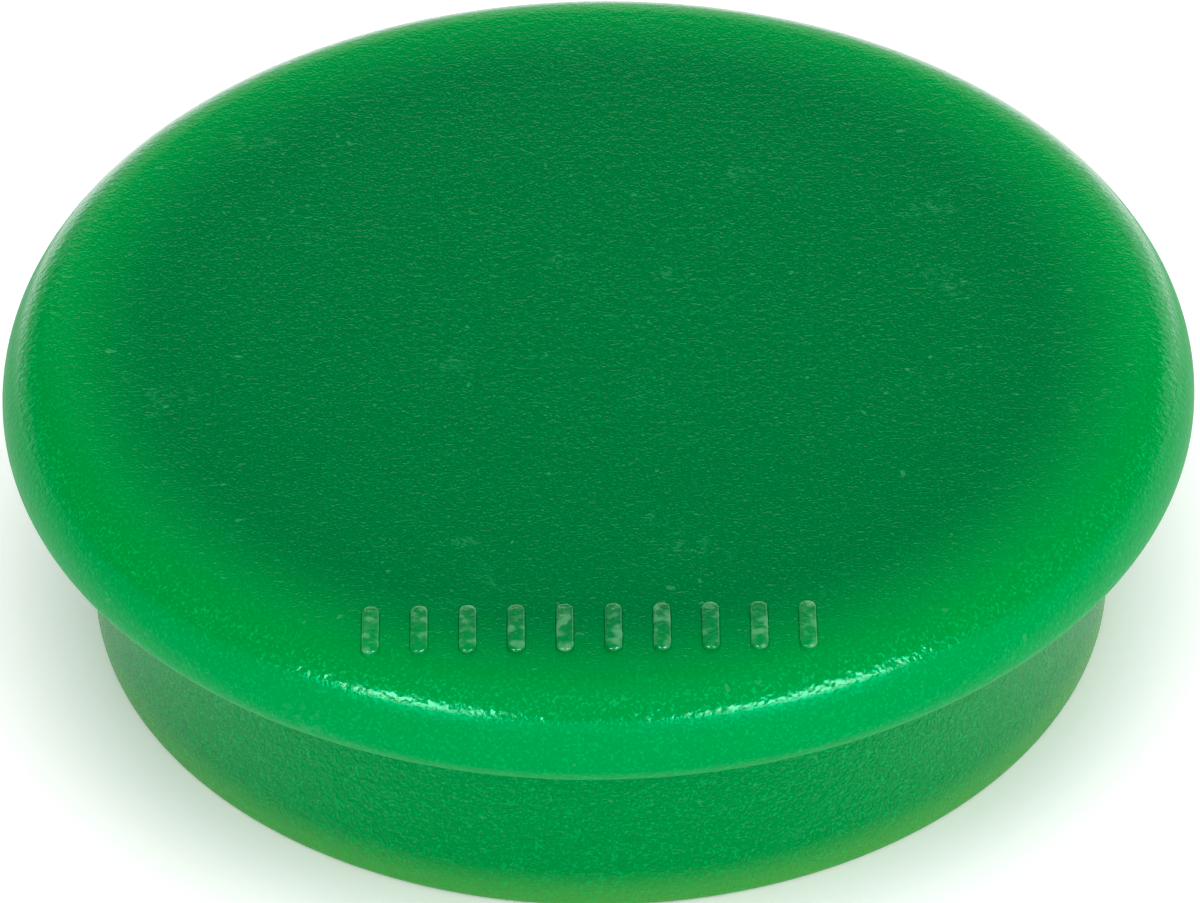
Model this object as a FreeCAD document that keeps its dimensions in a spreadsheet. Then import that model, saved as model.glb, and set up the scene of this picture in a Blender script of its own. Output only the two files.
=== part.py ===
"""Round plastic board magnet: a flanged, moulded cap with a ferrite disc glued inside it.

Frame, in millimetres: the origin is the middle of the plane that rests on the board,
+Z points away from the board, and the raised grip marks lie near the -Y edge of the top.
"""

import FreeCAD, Part
import Sketcher
import os

# The driving sizes: (name, millimetres or count, what it is).
DRIVING_SIZES = [
    ("lid_radius", 16.0, "outer radius of the lid"),
    ("cap_height", 8.5, "board plane to the flat top"),
    ("rim_top_radius", 1.8, "rounding of the lid's top edge"),
    ("rim_land", 0.05, "straight band between the lid's two roundings"),
    ("rim_bottom_radius", 0.65, "rounding of the lid's lower edge"),
    ("lid_overhang", 2.1, "how far the lid stands out past the skirt"),
    ("under_lid_radius", 0.2, "inside corner between the skirt and the lid"),
    ("skirt_taper", 0.1, "how much narrower the skirt's radius is at the board"),
    ("skirt_wall", 1.65, "wall of the skirt where it meets the lid"),
    ("base_edge_radius", 0.2, "rounding of the skirt's foot"),
    ("web_thickness", 2.8, "solid plastic above the cavity"),
    ("cavity_taper", 0.1, "how much wider the cavity's radius is at its mouth"),
    ("mouth_chamfer", 0.25, "lead-in around the cavity's mouth"),
    ("disc_clearance", 0.25, "gap between the disc and the cavity wall at the ceiling"),
    ("disc_recess", 0.3, "how far the disc's face stands back from the board"),
    ("disc_chamfer", 0.3, "pressed chamfer on both edges of the disc"),
    ("adhesive_thickness", 0.4, "film between the disc and the cavity's ceiling"),
    ("adhesive_margin", 0.6, "how far the film stops short of the disc's edge"),
    ("adhesive_round", 0.15, "rounding of the film's edges"),
    ("rib_radius", 0.4, "half-round crush rib on the cavity wall"),
    ("rib_clearance", 0.03, "gap left between a crush rib and the disc"),
    ("rib_start", 1.2, "height of the ribs' lower ends above the board"),
    ("rib_count", 6, "crush ribs around the cavity"),
    ("gate_radius", 1.5, "dimple around the injection point"),
    ("gate_depth", 0.3, "depth of that dimple in the ceiling"),
    ("vestige_radius", 0.5, "broken-off gate left in the dimple"),
    ("vestige_height", 0.2, "height of the gate vestige"),
    ("ejector_radius", 1.2, "witness mark of an ejector pin"),
    ("ejector_depth", 0.08, "depth of an ejector mark in the ceiling"),
    ("ejector_circle", 7.5, "radius of the circle that the ejector marks lie on"),
    ("ejector_count", 3, "ejector marks"),
    ("mark_width", 0.5, "width of one raised grip bar"),
    ("mark_length", 1.9, "length of one raised grip bar"),
    ("mark_pitch", 1.25, "spacing of the grip bars"),
    ("mark_count", 10, "grip bars in the row"),
    ("mark_height", 0.12, "how far the bars stand above the flat top"),
    ("mark_root", 0.5, "how deep the bars are rooted in the lid"),
    ("mark_round", 0.05, "rounding of the bars' top edges"),
    ("mark_edge_distance", 3.45, "middle of the row to the lid's edge"),
    ("mark_offset", 0.32, "how far the row's middle lies off centre, towards -X"),
]

# Sizes worked out from the driving ones: (name, formula).
WORKED_OUT_SIZES = [
    ("lid_thickness", "rim_top_radius + rim_land + rim_bottom_radius"),
    ("underside_level", "cap_height - lid_thickness"),
    ("skirt_radius", "lid_radius - lid_overhang"),
    ("foot_radius", "skirt_radius - skirt_taper"),
    ("ceiling_level", "cap_height - web_thickness"),
    ("cavity_radius", "skirt_radius - skirt_wall"),
    ("mouth_radius", "cavity_radius + cavity_taper"),
    ("disc_radius", "cavity_radius - disc_clearance"),
    ("disc_top", "ceiling_level - adhesive_thickness"),
    ("disc_thickness", "disc_top - disc_recess"),
    ("adhesive_radius", "disc_radius - adhesive_margin"),
    ("vestige_level", "ceiling_level + gate_depth - vestige_height"),
    ("rib_circle", "disc_radius + rib_clearance + rib_radius"),
    ("rib_length", "ceiling_level - rib_start"),
    ("mark_row", "lid_radius - mark_edge_distance"),
    ("first_mark", "mark_offset + mark_pitch * (mark_count - 1) / 2"),
    ("mark_row_length", "mark_pitch * (mark_count - 1)"),
    ("mark_end_radius", "mark_width / 2"),
    ("mark_straight", "mark_length - mark_width"),
    ("mark_upper_centre", "mark_row - mark_straight / 2"),
    ("mark_lower_centre", "mark_row + mark_straight / 2"),
    ("mark_base", "cap_height - mark_root"),
    ("mark_depth", "mark_root + mark_height"),
    ("mark_level", "cap_height + mark_height"),
]

ORIGIN = (-1, 1)
X_AXIS, Y_AXIS = -1, -2
START, END, CENTRE = 1, 2, 3
SAME_PLACE = 1e-4
WHOLE_TURN = 360
UP = FreeCAD.Vector(0, 0, 1)


def make_sheet(doc):
    """The spreadsheet of sizes: driving ones as plain numbers, the others as formulas."""
    sheet = doc.addObject("Spreadsheet::Sheet", "dims")
    row = 1
    for name, number, meaning in DRIVING_SIZES:
        sheet.set("A%d" % row, name)
        sheet.set("B%d" % row, str(number))
        sheet.set("C%d" % row, meaning)
        sheet.setAlias("B%d" % row, name)
        row += 1
    for name, formula in WORKED_OUT_SIZES:
        sheet.set("A%d" % row, name)
        sheet.set("B%d" % row, "=" + formula)
        sheet.setAlias("B%d" % row, name)
        row += 1
    doc.recompute()
    return sheet


def size_of(sheet, size):
    """The number behind a size's name, which may have a minus sign; None is zero."""
    if size is None:
        return 0.0
    number = float(sheet.get(size.lstrip("-")))
    return -number if size.startswith("-") else number


def bind(thing, prop, size):
    """Tie a property or a constraint to a size of the sheet."""
    sign = "-" if size.startswith("-") else ""
    thing.setExpression(prop, sign + "dims." + size.lstrip("-"))


def make_body(doc, label):
    """An empty body whose label names its piece."""
    body = doc.addObject("PartDesign::Body", label)
    body.Label = label
    return body


def make_sketch(body, name, plane_role, level=None):
    """A sketch on one of the body's own planes, raised to a named level when one is given."""
    sketch = body.newObject("Sketcher::SketchObject", name)
    plane = [item for item in body.Origin.OriginFeatures if item.Role == plane_role][0]
    sketch.AttachmentSupport = [(plane, "")]
    sketch.MapMode = "FlatFace"
    if level is not None:
        bind(sketch, "AttachmentOffset.Base.z", level)
    return sketch


def pin_point(sketch, sheet, geometry, position, x_size, y_size):
    """Hold a sketch point at two sizes; None holds it on the axis."""
    for kind, size, axis in (("DistanceX", x_size, Y_AXIS), ("DistanceY", y_size, X_AXIS)):
        if size is None:
            sketch.addConstraint(Sketcher.Constraint("PointOnObject", geometry, position, axis))
            continue
        number = size_of(sheet, size)
        constraint = Sketcher.Constraint(kind, *ORIGIN, geometry, position, number)
        name = "%s_%d_%d" % (kind, geometry, position)
        sketch.renameConstraint(sketch.addConstraint(constraint), name)
        bind(sketch, "Constraints." + name, size)


def draw_polygon(sketch, sheet, corners):
    """A closed outline whose corners are pairs of sizes."""
    places = [FreeCAD.Vector(size_of(sheet, x), size_of(sheet, y), 0) for x, y in corners]
    following = places[1:] + places[:1]
    for start, end in zip(places, following):
        sketch.addGeometry(Part.LineSegment(start, end), False)
    count = len(corners)
    for index, (x_size, y_size) in enumerate(corners):
        previous = (index - 1) % count
        sketch.addConstraint(Sketcher.Constraint("Coincident", previous, END, index, START))
        pin_point(sketch, sheet, index, START, x_size, y_size)


def draw_circle(sketch, sheet, radius, x_size=None, y_size=None):
    """A circle of a named radius, centred at two sizes."""
    centre = FreeCAD.Vector(size_of(sheet, x_size), size_of(sheet, y_size), 0)
    index = sketch.addGeometry(Part.Circle(centre, UP, size_of(sheet, radius)), False)
    constraint = Sketcher.Constraint("Radius", index, size_of(sheet, radius))
    name = "Radius_%d" % index
    sketch.renameConstraint(sketch.addConstraint(constraint), name)
    bind(sketch, "Constraints." + name, radius)
    pin_point(sketch, sheet, index, CENTRE, x_size, y_size)


def add_feature(body, kind, name, sketch, **sizes):
    """A sketch-based feature of the body whose sizes are bound to the sheet."""
    feature = body.newObject("PartDesign::" + kind, name)
    feature.Profile = sketch
    sketch.Visibility = False
    for prop, size in sizes.items():
        bind(feature, prop, size)
    return feature


def revolve(body, kind, name, sketch):
    """A whole turn of the sketch about its own upright axis."""
    feature = add_feature(body, kind, name, sketch)
    feature.ReferenceAxis = (sketch, ["V_Axis"])
    feature.Angle = WHOLE_TURN
    return feature


def repeat_around(body, name, features, sketch, count):
    """Copies of the features, evenly spaced about the body's upright axis."""
    pattern = body.newObject("PartDesign::PolarPattern", name)
    pattern.Originals = features
    pattern.Axis = (sketch, ["N_Axis"])
    pattern.Angle = WHOLE_TURN
    bind(pattern, "Occurrences", count)
    body.Tip = pattern
    return pattern


def circle_edges(shape, radius, level):
    """Names of the round edges of this radius, centred on the upright axis at this level."""
    names = []
    for index, edge in enumerate(shape.Edges, start=1):
        if not isinstance(edge.Curve, Part.Circle):
            continue
        place = edge.Curve.Center - FreeCAD.Vector(0, 0, level)
        if place.Length < SAME_PLACE and abs(edge.Curve.Radius - radius) < SAME_PLACE:
            names.append("Edge%d" % index)
    return names


def level_edges(shape, level):
    """Names of the edges that lie wholly at this level."""
    names = []
    for index, edge in enumerate(shape.Edges, start=1):
        box = edge.BoundBox
        if abs(box.ZMin - level) < SAME_PLACE and abs(box.ZMax - level) < SAME_PLACE:
            names.append("Edge%d" % index)
    return names


def dress_edges(body, kind, name, edges, prop, size):
    """A fillet or chamfer on the named edges of the body as it stands."""
    if not edges:
        raise RuntimeError("no edges found for " + name)
    base = body.Tip
    feature = body.newObject("PartDesign::" + kind, name)
    feature.Base = (base, edges)
    bind(feature, prop, size)
    body.Tip = feature
    body.Document.recompute()
    return feature


def mould_cap_shell(body, sheet):
    """The cap's outside, its cavity and the roundings between them."""
    outline = make_sketch(body, "cap_outline", "XZ_Plane")
    draw_polygon(outline, sheet, [
        (None, None),
        ("foot_radius", None),
        ("skirt_radius", "underside_level"),
        ("lid_radius", "underside_level"),
        ("lid_radius", "cap_height"),
        (None, "cap_height"),
    ])
    revolve(body, "Revolution", "cap_block", outline)
    cavity = make_sketch(body, "cavity_outline", "XZ_Plane")
    draw_polygon(cavity, sheet, [
        (None, None),
        ("mouth_radius", None),
        ("cavity_radius", "ceiling_level"),
        (None, "ceiling_level"),
    ])
    revolve(body, "Groove", "cavity", cavity)
    body.Document.recompute()

    round_edges = [
        ("Fillet", "rim_top", "lid_radius", "cap_height", "rim_top_radius"),
        ("Fillet", "rim_bottom", "lid_radius", "underside_level", "rim_bottom_radius"),
        ("Fillet", "under_lid", "skirt_radius", "underside_level", "under_lid_radius"),
        ("Fillet", "foot", "foot_radius", None, "base_edge_radius"),
        ("Chamfer", "mouth", "mouth_radius", None, "mouth_chamfer"),
    ]
    for kind, name, radius, level, size in round_edges:
        shape = body.Tip.Shape
        edges = circle_edges(shape, size_of(sheet, radius), size_of(sheet, level))
        prop = "Radius" if kind == "Fillet" else "Size"
        dress_edges(body, kind, name, edges, prop, size)


def add_crush_ribs(body, sheet):
    """Half-round ribs down the cavity wall, which centre the disc."""
    sketch = make_sketch(body, "rib_section", "XY_Plane", "rib_start")
    draw_circle(sketch, sheet, "rib_radius", "rib_circle", None)
    rib = add_feature(body, "Pad", "rib", sketch, Length="rib_length")
    repeat_around(body, "ribs", [rib], sketch, "rib_count")


def add_moulding_marks(body, sheet):
    """The gate dimple with its vestige, and the ejector marks, all in the cavity's ceiling."""
    dimple_sketch = make_sketch(body, "gate_section", "XY_Plane", "ceiling_level")
    draw_circle(dimple_sketch, sheet, "gate_radius")
    dimple = add_feature(body, "Pocket", "gate_dimple", dimple_sketch, Length="gate_depth")
    dimple.Reversed = True
    vestige_sketch = make_sketch(body, "vestige_section", "XY_Plane", "vestige_level")
    draw_circle(vestige_sketch, sheet, "vestige_radius")
    add_feature(body, "Pad", "gate_vestige", vestige_sketch, Length="vestige_height")
    pin_sketch = make_sketch(body, "ejector_section", "XY_Plane", "ceiling_level")
    draw_circle(pin_sketch, sheet, "ejector_radius", "ejector_circle", None)
    pin = add_feature(body, "Pocket", "ejector_mark", pin_sketch, Length="ejector_depth")
    pin.Reversed = True
    repeat_around(body, "ejector_marks", [pin], pin_sketch, "ejector_count")


def draw_upright_slot(sketch, sheet):
    """The outline of the first grip bar: two straight sides and two round ends."""
    radius = size_of(sheet, "mark_end_radius")
    half = size_of(sheet, "mark_straight") / 2
    middle_x = size_of(sheet, "-first_mark")
    middle_y = size_of(sheet, "-mark_row")
    top = FreeCAD.Vector(middle_x, middle_y + half, 0)
    bottom = FreeCAD.Vector(middle_x, middle_y - half, 0)
    across = FreeCAD.Vector(radius, 0, 0)
    left = sketch.addGeometry(Part.LineSegment(top - across, bottom - across), False)
    right = sketch.addGeometry(Part.LineSegment(bottom + across, top + across), False)
    along = FreeCAD.Vector(0, radius, 0)
    upper = sketch.addGeometry(Part.Arc(top + across, top + along, top - across), False)
    lower = sketch.addGeometry(Part.Arc(bottom - across, bottom - along, bottom + across), False)
    for first, first_end, second, second_end in (
            (upper, END, left, START), (left, END, lower, START),
            (lower, END, right, START), (right, END, upper, START)):
        sketch.addConstraint(
            Sketcher.Constraint("Tangent", first, first_end, second, second_end))
    sketch.addConstraint(Sketcher.Constraint("Vertical", left))
    pin_point(sketch, sheet, upper, CENTRE, "-first_mark", "-mark_upper_centre")
    pin_point(sketch, sheet, lower, CENTRE, "-first_mark", "-mark_lower_centre")
    constraint = Sketcher.Constraint("Radius", upper, radius)
    sketch.renameConstraint(sketch.addConstraint(constraint), "EndRadius")
    bind(sketch, "Constraints.EndRadius", "mark_end_radius")


def add_grip_marks(body, sheet):
    """A straight row of upright raised bars near the -Y edge of the top."""
    sketch = make_sketch(body, "mark_section", "XY_Plane", "mark_base")
    draw_upright_slot(sketch, sheet)
    mark = add_feature(body, "Pad", "grip_mark", sketch, Length="mark_depth")
    row = body.newObject("PartDesign::LinearPattern", "grip_marks")
    row.Originals = [mark]
    row.Direction = (sketch, ["H_Axis"])
    bind(row, "Length", "mark_row_length")
    bind(row, "Occurrences", "mark_count")
    body.Tip = row
    body.Document.recompute()
    edges = level_edges(body.Tip.Shape, size_of(sheet, "mark_level"))
    dress_edges(body, "Fillet", "mark_tops", edges, "Radius", "mark_round")


def make_cap(doc, sheet):
    """The one-piece plastic cap: lid, skirt, cavity, ribs, moulding marks and grip marks."""
    body = make_body(doc, "cap")
    mould_cap_shell(body, sheet)
    add_crush_ribs(body, sheet)
    add_moulding_marks(body, sheet)
    add_grip_marks(body, sheet)
    return body


def make_ferrite_magnet(doc, sheet):
    """The pressed and sintered ferrite disc, chamfered on both edges."""
    body = make_body(doc, "ferrite_magnet")
    sketch = make_sketch(body, "disc_section", "XY_Plane", "disc_recess")
    draw_circle(sketch, sheet, "disc_radius")
    add_feature(body, "Pad", "disc", sketch, Length="disc_thickness")
    doc.recompute()
    radius = size_of(sheet, "disc_radius")
    lower = circle_edges(body.Tip.Shape, radius, size_of(sheet, "disc_recess"))
    upper = circle_edges(body.Tip.Shape, radius, size_of(sheet, "disc_top"))
    dress_edges(body, "Chamfer", "disc_edges", lower + upper, "Size", "disc_chamfer")
    return body


def make_adhesive(doc, sheet):
    """The film of adhesive that holds the disc to the cavity's ceiling."""
    body = make_body(doc, "adhesive")
    sketch = make_sketch(body, "film_section", "XY_Plane", "disc_top")
    draw_circle(sketch, sheet, "adhesive_radius")
    add_feature(body, "Pad", "film", sketch, Length="adhesive_thickness")
    doc.recompute()
    radius = size_of(sheet, "adhesive_radius")
    lower = circle_edges(body.Tip.Shape, radius, size_of(sheet, "disc_top"))
    upper = circle_edges(body.Tip.Shape, radius, size_of(sheet, "ceiling_level"))
    dress_edges(body, "Fillet", "film_edges", lower + upper, "Radius", "adhesive_round")
    return body


def check_document(doc, bodies):
    """Stop unless every object recomputed and every piece is one valid solid."""
    for item in doc.Objects:
        if "Invalid" in item.State or "Error" in item.State:
            raise RuntimeError("%s did not recompute: %s" % (item.Label, item.State))
    for body in bodies:
        shape = body.Shape
        if shape.isNull() or not shape.isValid() or len(shape.Solids) != 1:
            raise RuntimeError("%s is not one valid solid" % body.Label)


def check_cuts_and_pads(body):
    """Stop if a feature that should take or add plastic left the volume as it was."""
    previous = 0.0
    for item in body.Group:
        if not item.isDerivedFrom("PartDesign::Feature"):
            continue
        if abs(item.Shape.Volume - previous) < SAME_PLACE:
            raise RuntimeError("%s changes nothing" % item.Label)
        previous = item.Shape.Volume


def main():
    doc = FreeCAD.newDocument("board_magnet")
    sheet = make_sheet(doc)
    bodies = [
        make_cap(doc, sheet),
        make_ferrite_magnet(doc, sheet),
        make_adhesive(doc, sheet),
    ]
    doc.recompute()
    check_document(doc, bodies)
    os.makedirs("parts", exist_ok=True)
    for body in bodies:
        check_cuts_and_pads(body)
        body.Shape.exportStep("parts/%s.step" % body.Label)
        box = body.Shape.BoundBox
        print("%-16s %10.2f mm3  z %.3f to %.3f  widest %.3f" % (
            body.Label, body.Shape.Volume, box.ZMin, box.ZMax, box.XLength))


main()
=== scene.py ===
"""Looks for the round board magnet: a moulded plastic cap, a ferrite disc and its adhesive.

Sizes of the magnet are in millimetres and turned into metres as each mesh is made. The floor,
the lamps and the camera are in metres. Everything is in the CAD frame: origin on the board
plane, +Z away from it, grip marks near the -Y edge.
"""

import math
from types import SimpleNamespace

import bmesh
import bpy
from mathutils import Matrix, Vector, noise


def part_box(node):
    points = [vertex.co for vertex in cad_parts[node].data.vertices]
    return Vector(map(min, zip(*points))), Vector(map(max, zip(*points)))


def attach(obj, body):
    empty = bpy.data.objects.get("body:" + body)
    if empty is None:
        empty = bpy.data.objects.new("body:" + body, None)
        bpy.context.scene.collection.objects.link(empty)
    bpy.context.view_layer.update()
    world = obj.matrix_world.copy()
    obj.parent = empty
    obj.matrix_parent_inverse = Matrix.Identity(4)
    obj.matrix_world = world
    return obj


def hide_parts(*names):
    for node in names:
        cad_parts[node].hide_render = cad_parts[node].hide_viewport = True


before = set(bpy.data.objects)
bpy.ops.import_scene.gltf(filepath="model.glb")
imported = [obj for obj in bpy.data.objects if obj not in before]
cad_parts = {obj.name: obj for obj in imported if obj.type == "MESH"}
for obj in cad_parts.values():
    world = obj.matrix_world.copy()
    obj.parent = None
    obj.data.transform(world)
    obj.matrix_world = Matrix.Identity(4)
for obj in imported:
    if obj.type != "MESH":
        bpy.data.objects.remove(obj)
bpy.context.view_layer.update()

MM = 0.001
FULL_TURN = 2 * math.pi

# ---------------------------------------------------------------- sizes

cap_low, cap_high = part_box("cap")
disc_low, disc_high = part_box("ferrite_magnet")
film_low, film_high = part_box("adhesive")

LID_RADIUS = cap_high.x / MM
MARK_LEVEL = cap_high.z / MM
MARK_HEIGHT = 0.12
TOP_LEVEL = MARK_LEVEL - MARK_HEIGHT
RIM_TOP_RADIUS = 1.8
RIM_LAND = 0.05
RIM_BOTTOM_RADIUS = 0.65
UNDERSIDE_LEVEL = TOP_LEVEL - RIM_TOP_RADIUS - RIM_LAND - RIM_BOTTOM_RADIUS
SKIRT_RADIUS = LID_RADIUS - 2.1
FOOT_RADIUS = SKIRT_RADIUS - 0.1
UNDER_LID_RADIUS = 0.2
FOOT_ROUND = 0.2
CEILING_LEVEL = film_high.z / MM
DISC_RADIUS = disc_high.x / MM
DISC_FACE = disc_low.z / MM
DISC_TOP = disc_high.z / MM
CAVITY_RADIUS = DISC_RADIUS + 0.25
MOUTH_RADIUS = CAVITY_RADIUS + 0.1
MOUTH_CHAMFER = 0.25
GATE_RADIUS = 1.5
GATE_DEPTH = 0.3
RIB_RADIUS = 0.4
RIB_CLEARANCE = 0.03
RIB_START = 1.2
RIB_LEAD = 0.5
RIB_COUNT = 6
FILM_RADIUS = film_high.x / MM

MARK_WIDTH = 0.5
MARK_LENGTH = 1.9
MARK_PITCH = 1.25
MARK_COUNT = 10
MARK_ROW = LID_RADIUS - 3.45
MARK_OFFSET = -0.32
MARK_ROOT = 0.4
MARK_ROUND = 0.085
MARK_DRAFT = 0.02

DISC_CHAMFER = 0.3
DISC_CHAMFER_BULGE = (0.14, 0.12)

TURN_STEPS = 360
FLAT_RINGS = 26
ARC_STEPS = 22
MARK_END_STEPS = 12
MARK_ROUND_STEPS = 4
CAP_SHARP_DEGREES = 35


def ring_arc(centre, radius, start, end, steps):
    """Profile points (r, z) on an arc, angles in degrees from the outward direction."""
    points = []
    for step in range(steps + 1):
        angle = math.radians(start + (end - start) * step / steps)
        points.append((centre[0] + radius * math.cos(angle),
                       centre[1] + radius * math.sin(angle)))
    return points


def straight(start, end, steps):
    """Profile points strictly between two points."""
    return [(start[0] + (end[0] - start[0]) * step / steps,
             start[1] + (end[1] - start[1]) * step / steps) for step in range(1, steps)]


# ---------------------------------------------------------------- meshes

def finished_object(name, mesh_source, sharp_degrees):
    """A smooth-shaded mesh object from a bmesh, with edges sharper than the angle kept crisp."""
    mesh = bpy.data.meshes.new(name)
    bmesh.ops.recalc_face_normals(mesh_source, faces=mesh_source.faces)
    mesh_source.to_mesh(mesh)
    mesh_source.free()
    mesh.polygons.foreach_set("use_smooth", [True] * len(mesh.polygons))
    mesh.set_sharp_from_angle(angle=math.radians(sharp_degrees))
    piece = bpy.data.objects.new(name, mesh)
    bpy.context.scene.collection.objects.link(piece)
    return piece


def turned(profile, place):
    """A closed bmesh turned from a profile that starts and ends on the axis.

    place(r, z, angle) gives the vertex in millimetres, so a ring needn't be a true circle.
    """
    result = bmesh.new()
    first = result.verts.new(Vector(place(0, profile[0][1], 0)) * MM)
    last = result.verts.new(Vector(place(0, profile[-1][1], 0)) * MM)
    rings = []
    for radius, level in profile[1:-1]:
        ring = []
        for step in range(TURN_STEPS):
            angle = FULL_TURN * step / TURN_STEPS
            ring.append(result.verts.new(Vector(place(radius, level, angle)) * MM))
        rings.append(ring)
    for step in range(TURN_STEPS):
        following = (step + 1) % TURN_STEPS
        result.faces.new((first, rings[0][step], rings[0][following]))
        result.faces.new((last, rings[-1][following], rings[-1][step]))
        for inner, outer in zip(rings, rings[1:]):
            result.faces.new((inner[step], outer[step], outer[following], inner[following]))
    return result


def cap_profile():
    """The cap's section, from the middle of its top round to the middle of its ceiling."""
    flat_edge = (LID_RADIUS - RIM_TOP_RADIUS, TOP_LEVEL)
    top_arc = ring_arc((flat_edge[0], TOP_LEVEL - RIM_TOP_RADIUS), RIM_TOP_RADIUS,
                       90, 0, ARC_STEPS)
    parting = UNDERSIDE_LEVEL + RIM_BOTTOM_RADIUS + RIM_LAND / 2
    flash = [(LID_RADIUS, parting)]
    bottom_arc = ring_arc((LID_RADIUS - RIM_BOTTOM_RADIUS, UNDERSIDE_LEVEL + RIM_BOTTOM_RADIUS),
                          RIM_BOTTOM_RADIUS, 0, -90, ARC_STEPS // 2)
    corner = ring_arc((SKIRT_RADIUS + UNDER_LID_RADIUS, UNDERSIDE_LEVEL - UNDER_LID_RADIUS),
                      UNDER_LID_RADIUS, 90, 180, 6)
    foot = ring_arc((FOOT_RADIUS - FOOT_ROUND, FOOT_ROUND), FOOT_ROUND, 0, -90, 8)
    mouth = [(MOUTH_RADIUS + MOUTH_CHAMFER, 0), (MOUTH_RADIUS, MOUTH_CHAMFER)]
    ceiling_corner = (CAVITY_RADIUS, CEILING_LEVEL)
    dimple = [(GATE_RADIUS, CEILING_LEVEL), (GATE_RADIUS, CEILING_LEVEL + GATE_DEPTH)]
    profile = [(0, TOP_LEVEL)]
    profile += straight((0, TOP_LEVEL), flat_edge, FLAT_RINGS)
    profile += top_arc + flash + bottom_arc
    profile += straight(bottom_arc[-1], corner[0], 4) + corner
    profile += straight(corner[-1], foot[0], 16) + foot
    profile += straight(foot[-1], mouth[0], 4) + mouth
    profile += straight(mouth[-1], ceiling_corner, 20) + [ceiling_corner]
    profile += straight(ceiling_corner, dimple[0], 10) + dimple
    profile += [(0, CEILING_LEVEL + GATE_DEPTH)]
    return profile


def rib_depth(angle, level):
    """How far the nearest crush rib stands in from the cavity wall, as a radius to reach."""
    spacing = FULL_TURN / RIB_COUNT
    offset = (angle + spacing / 2) % spacing - spacing / 2
    circle = DISC_RADIUS + RIB_CLEARANCE + RIB_RADIUS
    across = circle * math.sin(offset)
    if abs(across) >= RIB_RADIUS or level < RIB_START:
        return None
    reach = circle * math.cos(offset) - math.sqrt(RIB_RADIUS ** 2 - across ** 2)
    lead = min(1.0, (level - RIB_START) / RIB_LEAD)
    return reach + (1 - lead) * (MOUTH_RADIUS - reach)


SINK_DEPTH = 0.035
WAVE_HEIGHT = 0.006
WAVE_SIZE = 4.0


def cap_place(radius, level, angle):
    """A cap vertex: a true turned shape, with the slight sink and waves of a thick moulding."""
    if level > DISC_FACE and CAVITY_RADIUS - 0.01 < radius < MOUTH_RADIUS + 0.01 \
            and level < CEILING_LEVEL:
        reach = rib_depth(angle, level)
        if reach is not None:
            radius = min(radius, reach)
    x = radius * math.cos(angle)
    y = radius * math.sin(angle)
    if level > UNDERSIDE_LEVEL:
        inward = max(0.0, 1 - radius / (LID_RADIUS - RIM_TOP_RADIUS))
        smooth = inward * inward * (3 - 2 * inward)
        wave = noise.noise(Vector((x, y, level)) / WAVE_SIZE) * WAVE_HEIGHT
        level = level - SINK_DEPTH * smooth - abs(wave)
    return (x, y, level)


def grip_bar(centre_x):
    """One raised grip bar: an upright slot with drafted sides and a rounded top edge."""
    sections = [(MARK_DRAFT, -MARK_ROOT), (MARK_DRAFT, 0.0)]
    for step in range(MARK_ROUND_STEPS + 1):
        angle = math.radians(90 * step / MARK_ROUND_STEPS)
        inset = MARK_ROUND * (1 - math.cos(angle))
        sections.append((-inset, MARK_HEIGHT - MARK_ROUND + MARK_ROUND * math.sin(angle)))
    result = bmesh.new()
    half = (MARK_LENGTH - MARK_WIDTH) / 2
    loops = []
    for grow, rise in sections:
        radius = MARK_WIDTH / 2 - MARK_DRAFT + grow
        loop = []
        for side, start in ((1, 0), (-1, 180)):
            for step in range(MARK_END_STEPS + 1):
                angle = math.radians(start + 180 * step / MARK_END_STEPS)
                x = centre_x + radius * math.cos(angle)
                y = -MARK_ROW + side * half + radius * math.sin(angle)
                loop.append(result.verts.new(Vector((x, y, TOP_LEVEL + rise)) * MM))
        loops.append(loop)
    count = len(loops[0])
    for lower, upper in zip(loops, loops[1:]):
        for step in range(count):
            following = (step + 1) % count
            result.faces.new((lower[step], lower[following], upper[following], upper[step]))
    result.faces.new(loops[0][::-1])
    result.faces.new(loops[-1])
    return result


def joined_bars():
    """All the grip bars in one mesh object, used as the tool of the union."""
    everything = bpy.data.meshes.new("grip_bars")
    collected = bmesh.new()
    for index in range(MARK_COUNT):
        centre_x = MARK_OFFSET + (index - (MARK_COUNT - 1) / 2) * MARK_PITCH
        bar = grip_bar(centre_x)
        single = bpy.data.meshes.new("bar")
        bmesh.ops.recalc_face_normals(bar, faces=bar.faces)
        bar.to_mesh(single)
        bar.free()
        collected.from_mesh(single)
        bpy.data.meshes.remove(single)
    collected.to_mesh(everything)
    collected.free()
    tool = bpy.data.objects.new("grip_bars", everything)
    bpy.context.scene.collection.objects.link(tool)
    return tool


def build_cap():
    """The cap as one closed mesh with its grip bars united to the lid."""
    turned_cap = turned(cap_profile(), cap_place)
    piece = finished_object("cap_moulding", turned_cap, CAP_SHARP_DEGREES)
    tool = joined_bars()
    union = piece.modifiers.new("bars", "BOOLEAN")
    union.operation = "UNION"
    union.solver = "EXACT"
    union.object = tool
    depsgraph = bpy.context.evaluated_depsgraph_get()
    united = bpy.data.meshes.new_from_object(piece.evaluated_get(depsgraph))
    piece.modifiers.clear()
    piece.data = united
    united.name = "cap_moulding"
    united.polygons.foreach_set("use_smooth", [True] * len(united.polygons))
    united.set_sharp_from_angle(angle=math.radians(CAP_SHARP_DEGREES))
    bpy.data.objects.remove(tool)
    return piece


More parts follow.
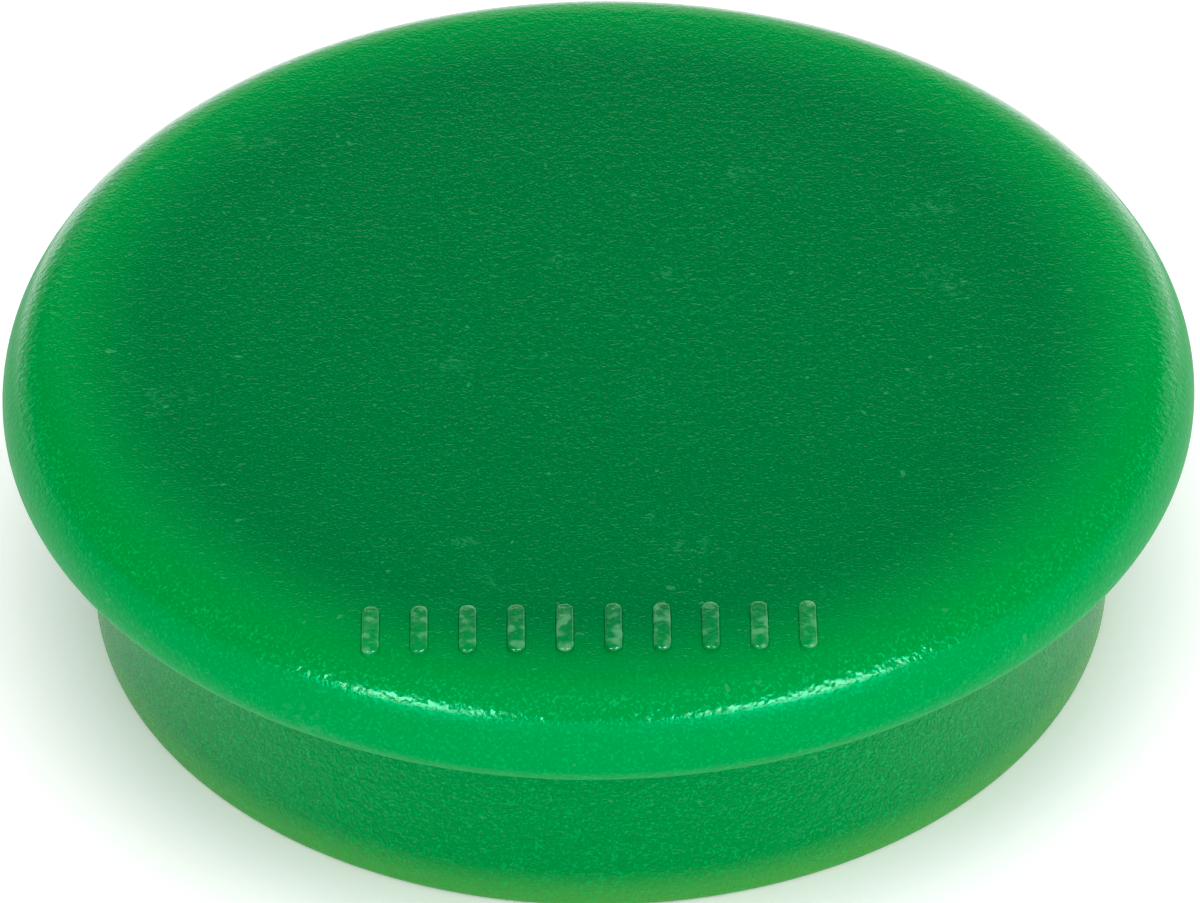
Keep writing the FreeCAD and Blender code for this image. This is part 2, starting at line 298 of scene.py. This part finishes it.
def disc_place(radius, level, angle):
    """A vertex of the ferrite disc, its edges crumbled a little as sintered ferrite is."""
    x = radius * math.cos(angle)
    y = radius * math.sin(angle)
    edge = max(0.0, 1 - abs(radius - DISC_RADIUS + 0.15) / 0.35)
    grain = noise.noise(Vector((x, y, level)) * 1.7)
    chip = max(0.0, noise.noise(Vector((x * 0.9, y * 0.9, level * 0.5 + 9))) - 0.38)
    shrink = edge * (0.012 * abs(grain) + 0.35 * chip)
    keep = 1 - shrink / max(radius, 1)
    return (x * keep, y * keep, level)


def build_disc():
    """The ferrite disc, with its pressed chamfers."""
    face_edge = DISC_RADIUS - DISC_CHAMFER
    inward, along = DISC_CHAMFER_BULGE
    upper_edge = (DISC_RADIUS, DISC_TOP - DISC_CHAMFER)
    lower_edge = (DISC_RADIUS, DISC_FACE + DISC_CHAMFER)
    profile = [(0, DISC_TOP)]
    profile += straight((0, DISC_TOP), (face_edge, DISC_TOP), 12)
    profile += [(face_edge, DISC_TOP), (DISC_RADIUS - inward, DISC_TOP - along)]
    profile += [upper_edge] + straight(upper_edge, lower_edge, 14) + [lower_edge]
    profile += [(DISC_RADIUS - inward, DISC_FACE + along), (face_edge, DISC_FACE)]
    profile += straight((face_edge, DISC_FACE), (0, DISC_FACE), 20)
    profile += [(0, DISC_FACE)]
    return finished_object("ferrite_disc", turned(profile, disc_place), 30)


def film_place(radius, level, angle):
    """A vertex of the adhesive film, whose squeezed-out edge wanders."""
    x = radius * math.cos(angle)
    y = radius * math.sin(angle)
    edge = (radius / FILM_RADIUS) ** 4
    wander = abs(noise.noise(Vector((x, y, 3.0)) * 0.35)) * 0.9
    keep = 1 - edge * wander / FILM_RADIUS
    return (x * keep, y * keep, level)


def build_film():
    """The adhesive film between the disc and the ceiling, bulging at its edge."""
    middle = (DISC_TOP + CEILING_LEVEL) / 2
    half = (CEILING_LEVEL - DISC_TOP) / 2
    profile = [(0, CEILING_LEVEL)]
    profile += straight((0, CEILING_LEVEL), (FILM_RADIUS - half, CEILING_LEVEL), 10)
    profile += ring_arc((FILM_RADIUS - half, middle), half, 90, -90, 10)
    profile += straight((FILM_RADIUS - half, DISC_TOP), (0, DISC_TOP), 10)
    profile += [(0, DISC_TOP)]
    return finished_object("adhesive_film", turned(profile, film_place), 60)


# ---------------------------------------------------------------- materials

STREAK_INSET = 0.8
GRAIN_SIZE = 0.085
GRAIN_DEPTH = 0.035
BEAD_SIZE = 0.2
BEAD_DEPTH = 0.02


class Nodes:
    """Short calls for building one node material in object space."""

    def __init__(self, name):
        self.material = bpy.data.materials.new(name)
        self.material.use_nodes = True
        self.tree = self.material.node_tree
        self.shader = self.tree.nodes["Principled BSDF"]
        coordinates = self.tree.nodes.new("ShaderNodeTexCoord")
        self.place = coordinates.outputs["Object"]

    def add(self, kind, **settings):
        """A new shader node of this kind, with its settings."""
        node = self.tree.nodes.new("ShaderNode" + kind)
        for name, value in settings.items():
            setattr(node, name, value)
        return node

    def feed(self, value, socket):
        """Links a socket or sets a plain number or colour."""
        if isinstance(value, bpy.types.NodeSocket):
            self.tree.links.new(value, socket)
        else:
            socket.default_value = value

    def math(self, operation, first, second=0.0):
        """One arithmetic operation on sockets or numbers."""
        node = self.add("Math", operation=operation)
        for value, socket in zip((first, second), node.inputs):
            self.feed(value, socket)
        return node.outputs[0]

    def axis(self, name):
        """One coordinate of the object's place, in millimetres."""
        split = self.add("SeparateXYZ")
        self.feed(self.place, split.inputs[0])
        return self.math("DIVIDE", split.outputs[name], MM)

    def radius(self):
        """Distance from the upright axis, in millimetres."""
        x = self.axis("X")
        y = self.axis("Y")
        squares = self.math("ADD", self.math("MULTIPLY", x, x), self.math("MULTIPLY", y, y))
        return self.math("SQRT", squares)

    def ramp(self, value, low, high, start=0.0, end=1.0):
        """A value mapped smoothly from low..high to start..end, clamped."""
        node = self.add("MapRange", clamp=True, interpolation_type="SMOOTHSTEP")
        for item, socket in zip((value, low, high, start, end), node.inputs):
            self.feed(item, socket)
        return node.outputs[0]

    def noise(self, size, detail=2.0, roughness=0.5, place=None):
        """Noise with features of about this size in millimetres, from 0 to 1."""
        node = self.add("TexNoise")
        self.feed(place or self.place, node.inputs["Vector"])
        self.feed(1 / (size * MM), node.inputs["Scale"])
        self.feed(detail, node.inputs["Detail"])
        self.feed(roughness, node.inputs["Roughness"])
        return node.outputs["Fac"]

    def mix(self, share, first, second):
        """A colour between two colours."""
        node = self.add("Mix", data_type="RGBA")
        self.feed(share, node.inputs["Factor"])
        self.feed(first, node.inputs[6])
        self.feed(second, node.inputs[7])
        return node.outputs[2]

    def bump(self, height, distance, normal=None):
        """A bump of full strength whose height runs over this distance in millimetres."""
        node = self.add("Bump")
        self.feed(height, node.inputs["Height"])
        self.feed(1.0, node.inputs["Strength"])
        self.feed(distance * MM, node.inputs["Distance"])
        if normal is not None:
            self.feed(normal, node.inputs["Normal"])
        return node.outputs["Normal"]


def linear(red, green, blue):
    """A display colour from 0 to 255 as the linear colour that the shader takes."""
    channels = []
    for value in (red, green, blue):
        share = value / 255
        channels.append(share / 12.92 if share <= 0.04045 else ((share + 0.055) / 1.055) ** 2.4)
    return (*channels, 1.0)


def cap_zones(m):
    """Where the cap's looks change: radius and level in millimetres, and shares from 0 to 1.

    The streaks are the two light reflections on the rim, in a smoother band of the plastic.
    """
    radius = m.radius()
    level = m.axis("Z")
    on_skirt = m.ramp(level, UNDERSIDE_LEVEL + 0.1, UNDERSIDE_LEVEL - 0.05)
    grained_top = m.ramp(radius, LID_RADIUS - 0.12, LID_RADIUS - 0.3)
    off_streaks = m.math("ABSOLUTE", m.math("SUBTRACT", radius, LID_RADIUS - STREAK_INSET))
    return SimpleNamespace(
        radius=radius,
        level=level,
        on_skirt=on_skirt,
        on_marks=m.ramp(level, TOP_LEVEL + 0.02, TOP_LEVEL + 0.06),
        grained=m.math("MAXIMUM", grained_top, on_skirt),
        polished=m.ramp(off_streaks, 0.4, 0.25))


def cap_base_colour(m, zones):
    """Dark green over the disc and brighter at the rim; paler at the foot, where painted light
    stands in for light bounced from the white floor.
    """
    over_disc = linear(0, 107, 44)
    rim = linear(0, 147, 54)
    skirt = linear(0, 134, 38)
    # painted floor bounce: the paler foot colour stands in for light from the white floor under
    # the skirt
    foot = linear(80, 160, 56)
    top_colour = m.mix(m.ramp(zones.radius, 11.5, 15.6), over_disc, rim)
    skirt_with_floor_bounce = m.mix(m.ramp(zones.level, 1.5, 0.0), skirt, foot)
    return m.mix(zones.on_skirt, top_colour, skirt_with_floor_bounce)


def cap_flecks(m, zones, colour, grit):
    """Light specks in the grain, densest on the rim and the skirt: partly the grain's own tone,
    partly painted glints of the lamps on it.
    """
    # painted glints mixed with grain tone: the pale specks stand in partly for light catching the
    # grain
    grain_and_glint_speck = linear(22, 182, 90)
    fleck = m.ramp(grit, 0.5, 0.72)
    # painted glints: a denser band of pale specks where the grained top meets the rim, standing
    # in for an overhead light caught by the grain
    texture_edge_glints = m.math("MULTIPLY",
                          m.ramp(zones.radius, LID_RADIUS - 1.15, LID_RADIUS - 0.85),
                          m.ramp(zones.radius, LID_RADIUS - 0.45, LID_RADIUS - 0.65))
    over_rim = m.ramp(zones.radius, 13.5, LID_RADIUS - 0.6, 0.18, 0.5)
    over_skirt = m.math("MULTIPLY", zones.on_skirt, 0.5)
    share = m.math("ADD", m.math("MAXIMUM", over_rim, over_skirt),
                   m.math("MULTIPLY", texture_edge_glints, 0.35))
    return m.mix(m.math("MULTIPLY", fleck, share), colour, grain_and_glint_speck)


def cap_wear_and_glints(m, zones, colour, beads):
    """Pale patches on the raised marks, partly scrapes and partly painted glints, and a few
    specks and scuffs all over.
    """
    # painted glints and scrapes: the pale patches on the raised marks stand in partly for light
    # glinting off them
    scrape_and_glint = linear(120, 190, 140)
    scuffed = linear(70, 160, 96)
    patches = m.ramp(m.noise(0.34, detail=1.0), 0.45, 0.7, 0.05, 0.45)
    colour = m.mix(m.math("MULTIPLY", zones.on_marks, patches), colour, scrape_and_glint)
    cloud = m.noise(2.6, detail=4.0, roughness=0.6)
    speck = m.ramp(m.noise(0.3, detail=0.5), 0.76, 0.82)
    scuff = m.math("MULTIPLY", m.ramp(cloud, 0.6, 0.72), m.ramp(beads, 0.5, 0.6))
    blemish = m.math("MAXIMUM", m.math("MULTIPLY", speck, 0.45), m.math("MULTIPLY", scuff, 0.22))
    return m.mix(blemish, colour, scuffed)


def cap_gloss(m, zones):
    """Satin plastic, glossier in the streak band and duller on the rim's side.

    The gloss is tinted green from straight ahead, and stays white at grazing angles. A white
    coat lies only on the raised marks and, thinner, in the streak band.
    """
    side = m.ramp(zones.radius, LID_RADIUS - 0.5, LID_RADIUS - 0.25, 0.27, 0.5)
    roughness = m.math("SUBTRACT", side, m.math("MULTIPLY", zones.polished, 0.09))
    coat = m.math("MAXIMUM", zones.on_marks, m.math("MULTIPLY", zones.polished, 0.33))
    m.feed(roughness, m.shader.inputs["Roughness"])
    m.feed(coat, m.shader.inputs["Coat Weight"])
    m.shader.inputs["Coat Roughness"].default_value = 0.16
    m.shader.inputs["IOR"].default_value = 1.5
    m.shader.inputs["Specular Tint"].default_value = (0.0, 1.0, 0.6, 1)


def cap_relief(m, zones, grit, beads):
    """The mould's grain over soft beads, shallow in the streak band; the coat has only beads."""
    depth = m.math("MULTIPLY", m.ramp(zones.on_skirt, 0, 1, 0.5, 1.2),
                   m.ramp(zones.grained, 0, 1, 0.4, 1.0))
    depth = m.math("MULTIPLY", depth, m.ramp(zones.polished, 0, 1, 1.0, 0.5))
    grain = m.math("MULTIPLY", grit, depth)
    bead_height = m.math("MULTIPLY", beads, m.ramp(zones.on_skirt, 0, 1, 1.0, 2.2))
    rippled = m.bump(bead_height, BEAD_DEPTH)
    m.feed(m.bump(grain, GRAIN_DEPTH, normal=rippled), m.shader.inputs["Normal"])
    m.feed(rippled, m.shader.inputs["Coat Normal"])


def cap_material():
    """Translucent green plastic: dark over the disc, bright at the rim, grained by the mould."""
    m = Nodes("cap_plastic")
    zones = cap_zones(m)
    grit = m.noise(GRAIN_SIZE, detail=1.5)
    beads = m.noise(BEAD_SIZE, detail=1.0)
    colour = cap_base_colour(m, zones)
    colour = cap_flecks(m, zones, colour, grit)
    colour = cap_wear_and_glints(m, zones, colour, beads)
    m.feed(colour, m.shader.inputs["Base Color"])
    cap_gloss(m, zones)
    cap_relief(m, zones, grit, beads)
    return m.material


def ferrite_material():
    """Grey-black sintered ferrite with a ground working face."""
    m = Nodes("ferrite")
    mottle = m.noise(1.3, detail=4.0, roughness=0.65)
    speck = m.noise(0.12, detail=2.0)
    dark = (0.018, 0.018, 0.019, 1)
    pale = (0.052, 0.051, 0.05, 1)
    share = m.math("ADD", m.math("MULTIPLY", mottle, 0.6), m.math("MULTIPLY", speck, 0.4))
    m.feed(m.mix(m.ramp(share, 0.35, 0.7), dark, pale), m.shader.inputs["Base Color"])
    stretched = m.add("Mapping")
    m.feed(m.place, stretched.inputs["Vector"])
    stretched.inputs["Scale"].default_value = (1.0, 14.0, 1.0)
    lines = m.noise(0.9, detail=3.0, place=stretched.outputs[0])
    m.feed(m.ramp(lines, 0.3, 0.7, 0.42, 0.62), m.shader.inputs["Roughness"])
    height = m.math("ADD", m.math("MULTIPLY", lines, 0.5), speck)
    m.feed(m.bump(height, 0.02), m.shader.inputs["Normal"])
    return m.material


def adhesive_material():
    """Amber hot-melt adhesive, slightly cloudy."""
    m = Nodes("adhesive")
    cloud = m.noise(1.6, detail=3.0)
    m.feed(m.mix(cloud, (0.55, 0.47, 0.3, 1), (0.72, 0.66, 0.5, 1)),
           m.shader.inputs["Base Color"])
    m.feed(m.ramp(cloud, 0, 1, 0.2, 0.35), m.shader.inputs["Roughness"])
    m.feed(m.bump(m.noise(0.5), 0.03), m.shader.inputs["Normal"])
    m.shader.inputs["Subsurface Weight"].default_value = 0.3
    m.shader.inputs["Subsurface Scale"].default_value = 0.5 * MM
    return m.material


def floor_material():
    """Matt white studio sheet that glows a little, so that the shadow on it stays pale."""
    m = Nodes("floor_sheet")
    tone = m.noise(40.0, detail=2.0)
    m.feed(m.mix(tone, (0.93, 0.93, 0.93, 1), (0.96, 0.96, 0.96, 1)),
           m.shader.inputs["Base Color"])
    m.shader.inputs["Roughness"].default_value = 0.9
    m.shader.inputs["Specular IOR Level"].default_value = 0.1
    m.shader.inputs["Emission Color"].default_value = (1, 1, 1, 1)
    m.shader.inputs["Emission Strength"].default_value = 0.22
    return m.material


# ---------------------------------------------------------------- scene

def place_piece(piece, material, node):
    """Gives a piece its material, hides the CAD node that it stands for and attaches the piece to
    the root body.
    """
    piece.data.materials.clear()
    piece.data.materials.append(material)
    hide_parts(node)
    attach(piece, "root")


FLOOR_HALF = 0.4


def build_floor():
    """A pale floor that the magnet stands on, as far as the lamps light it."""
    sheet = bmesh.new()
    corners = [sheet.verts.new((x * FLOOR_HALF, y * FLOOR_HALF, 0))
               for x, y in ((-1, -1), (1, -1), (1, 1), (-1, 1))]
    sheet.faces.new(corners)
    floor = finished_object("floor", sheet, 30)
    floor.data.materials.append(floor_material())


def direction(azimuth, elevation):
    """A unit vector: azimuth 0 is the -Y side, positive towards +X, elevation above the floor."""
    turn = math.radians(azimuth)
    rise = math.radians(elevation)
    return Vector((math.sin(turn) * math.cos(rise), -math.cos(turn) * math.cos(rise),
                   math.sin(rise)))


def add_softbox(name, azimuth, elevation, distance, width, height, watts, seen_in="both",
                colour=(1, 1, 1)):
    """A rectangular lamp that faces the magnet; it lights it, glints in it, or both.

    seen_in is "light" for a lamp that doesn't show in reflections, "glint" for one that shows
    only there, and "both". The distance and the sizes are in metres.
    """
    light = bpy.data.lights.new(name, "AREA")
    light.shape = "RECTANGLE"
    light.size = width
    light.size_y = height
    light.energy = watts
    light.color = colour
    lamp = bpy.data.objects.new(name, light)
    towards = direction(azimuth, elevation)
    lamp.location = towards * distance
    lamp.rotation_euler = towards.to_track_quat("Z", "Y").to_euler()
    lamp.visible_glossy = seen_in != "light"
    lamp.visible_diffuse = seen_in != "glint"
    bpy.context.scene.collection.objects.link(lamp)


def set_world():
    """Pale at the horizon and dim overhead, so that the flat top stays deep in colour.

    The camera sees it as plain white past the floor's edge.
    """
    world = bpy.data.worlds.new("studio")
    bpy.context.scene.world = world
    world.use_nodes = True
    nodes = world.node_tree.nodes
    links = world.node_tree.links
    coordinates = nodes.new("ShaderNodeTexCoord")
    split = nodes.new("ShaderNodeSeparateXYZ")
    ramp = nodes.new("ShaderNodeValToRGB")
    links.new(coordinates.outputs["Generated"], split.inputs[0])
    links.new(split.outputs["Z"], ramp.inputs[0])
    ramp.color_ramp.elements[0].position = 0.1
    ramp.color_ramp.elements[0].color = (0.45, 0.45, 0.45, 1)
    ramp.color_ramp.elements[1].position = 0.35
    ramp.color_ramp.elements[1].color = (0.03, 0.03, 0.03, 1)
    ray = nodes.new("ShaderNodeLightPath")
    seen = nodes.new("ShaderNodeMix")
    seen.data_type = "RGBA"
    seen.inputs[7].default_value = (1.0, 1.0, 1.0, 1)
    links.new(ray.outputs["Is Camera Ray"], seen.inputs["Factor"])
    links.new(ramp.outputs[0], seen.inputs[6])
    links.new(seen.outputs[2], nodes["Background"].inputs["Color"])


CAMERA_ELEVATION = 38.992
CAMERA_ROLL = -0.795
CAMERA_DISTANCE = 0.25
CAMERA_AIM = Vector((0, 0, 0.0037))
SENSOR_WIDTH = 36.0
FOCAL_SHARE = 7.6928
SHIFT_X = 0.0005
SHIFT_Y = 0.0125


def set_camera():
    """A long lens from the front, looking down, rolled slightly."""
    lens = bpy.data.cameras.new("camera")
    lens.sensor_width = SENSOR_WIDTH
    lens.sensor_fit = "HORIZONTAL"
    lens.lens = FOCAL_SHARE * SENSOR_WIDTH
    lens.shift_x = SHIFT_X
    lens.shift_y = SHIFT_Y
    lens.clip_start = 0.01
    lens.clip_end = 20
    camera = bpy.data.objects.new("camera", lens)
    back = direction(0, CAMERA_ELEVATION)
    turn = back.to_track_quat("Z", "Y").to_matrix().to_4x4()
    roll = Matrix.Rotation(math.radians(CAMERA_ROLL), 4, "Z")
    camera.matrix_world = Matrix.Translation(CAMERA_AIM + back * CAMERA_DISTANCE) @ turn @ roll
    bpy.context.scene.collection.objects.link(camera)
    bpy.context.scene.camera = camera


place_piece(build_cap(), cap_material(), "cap")
place_piece(build_disc(), ferrite_material(), "ferrite_magnet")
place_piece(build_film(), adhesive_material(), "adhesive")
build_floor()

set_world()
add_softbox("fill_high", 8, 80, 0.45, 0.40, 0.30, 1.5, "light")
add_softbox("fill_middle", 6, 42, 0.45, 0.40, 0.25, 0.45, "light")
add_softbox("fill_low", 6, 14, 0.45, 0.50, 0.20, 0.35, "light")
add_softbox("fill_left", -80, 18, 0.45, 0.40, 0.25, 0.3, "light")
add_softbox("fill_right", 80, 18, 0.45, 0.40, 0.25, 0.48, "light")
add_softbox("fill_back", 178, 35, 0.45, 0.40, 0.25, 0.7, "light")
add_softbox("front_left", -36, 40, 0.40, 0.15, 0.07, 0.72, "glint")
add_softbox("front_right", 37, 40, 0.40, 0.23, 0.07, 1.02, "glint")
add_softbox("back_right", 143, 10, 0.40, 0.20, 0.12, 0.03)
add_softbox("back_card", 180, 18, 0.40, 0.30, 0.17, 0.15, "glint", (1.0, 1.0, 0.7))
set_camera()

# The plastic is a green more saturated than a display shows, so that its red is cut off at
# zero. The small black level in red stands in for that.
view = bpy.context.scene.view_settings
view.view_transform = "Standard"
view.use_curve_mapping = True
view.curve_mapping.black_level = (0.015, 0.0, 0.0)
view.curve_mapping.update()
